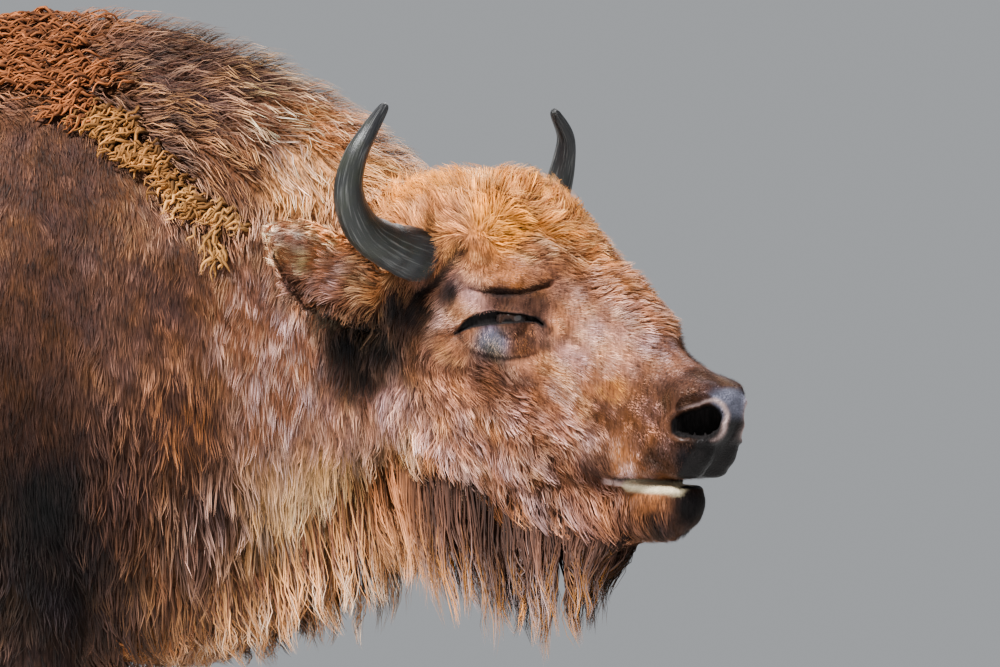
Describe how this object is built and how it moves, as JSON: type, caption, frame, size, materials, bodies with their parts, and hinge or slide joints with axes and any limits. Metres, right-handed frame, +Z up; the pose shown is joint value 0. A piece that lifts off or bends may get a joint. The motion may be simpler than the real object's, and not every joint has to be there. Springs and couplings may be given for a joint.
{
  "type": "standing wisent bull model",
  "caption": "Life-size still model of a standing European bison bull with hump, beard, throat mane and short curved horns, its head turned a little to its right.",
  "frame": {"origin": "middle of the standing animal's box, on the ground under its belly", "axes": "+X the way the animal faces, +Y to its left, +Z up"},
  "size_m": [2.7908, 0.7302, 1.8026],
  "materials": {
    "coat": "soft rust-brown fur, matte",
    "coat_dark": "short dark brown fur, matte",
    "long_hair": "long wavy hair, dark brown with golden tips",
    "horn": "dark grey keratin with a low polish",
    "hoof": "black keratin, dull",
    "eye": "wet, almost black"
  },
  "bodies": {
    "root": {"trunk": "coat", "neck": "coat", "head": "coat", "lower_jaw": "coat_dark", "leg_front_right": "coat_dark", "leg_front_left": "coat_dark", "leg_hind_right": "coat_dark", "leg_hind_left": "coat_dark", "ear_right": "coat", "ear_left": "coat", "tail": "coat", "beard": "long_hair", "throat_mane": "long_hair", "tail_tuft": "long_hair", "eye_right": "eye", "eye_left": "eye", "horn_right": "horn", "horn_left": "horn", "claw_front_right_inner": "hoof", "dewclaw_front_right_inner": "hoof", "claw_front_right_outer": "hoof", "dewclaw_front_right_outer": "hoof", "claw_front_left_inner": "hoof", "dewclaw_front_left_inner": "hoof", "claw_front_left_outer": "hoof", "dewclaw_front_left_outer": "hoof", "claw_hind_right_inner": "hoof", "dewclaw_hind_right_inner": "hoof", "claw_hind_right_outer": "hoof", "dewclaw_hind_right_outer": "hoof", "claw_hind_left_inner": "hoof", "dewclaw_hind_left_inner": "hoof", "claw_hind_left_outer": "hoof", "dewclaw_hind_left_outer": "hoof"}
  },
  "joints": []
}
